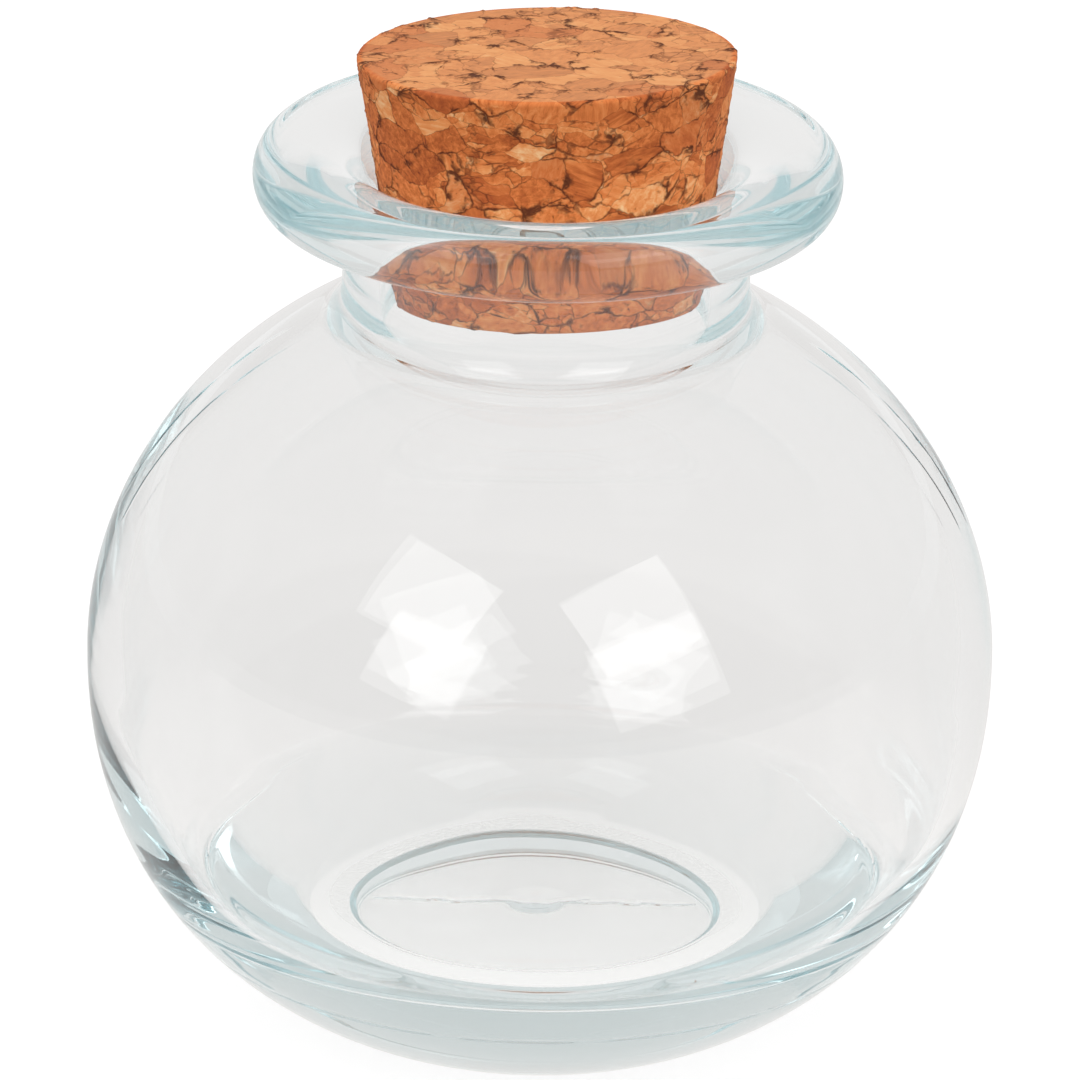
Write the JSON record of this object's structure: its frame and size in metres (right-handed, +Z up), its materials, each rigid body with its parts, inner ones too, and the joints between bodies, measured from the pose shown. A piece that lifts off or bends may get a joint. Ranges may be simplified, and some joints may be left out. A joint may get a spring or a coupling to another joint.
{
  "type": "glass jar with cork stopper",
  "caption": "Round pale green glass jar on a hollowed base, with a heavy flared lip and a tapered pressed cork stopper that lifts out of its throat.",
  "frame": {"origin": "centre of the flat ring that the jar stands on", "axes": "+Z up along the jar's axis of revolution and the stopper's travel; -Y faces the viewer; the mould's seam lies in the X-Z plane"},
  "size_m": [0.1, 0.1, 0.112],
  "materials": {
    "recycled_glass": "clear, fire-polished, faintly blue-green where it is thick",
    "pressed_cork": "matt, glued granules of tan and brown cork with dark joints and pits"
  },
  "bodies": {
    "jar": {"glass_jar": "recycled_glass"},
    "stopper": {"cork_stopper": "pressed_cork"}
  },
  "joints": [
    {"name": "stopper_lift", "type": "slide", "parent": "jar", "child": "stopper", "axis": [0, 0, 1], "range_m": [0, 0.06]}
  ]
}
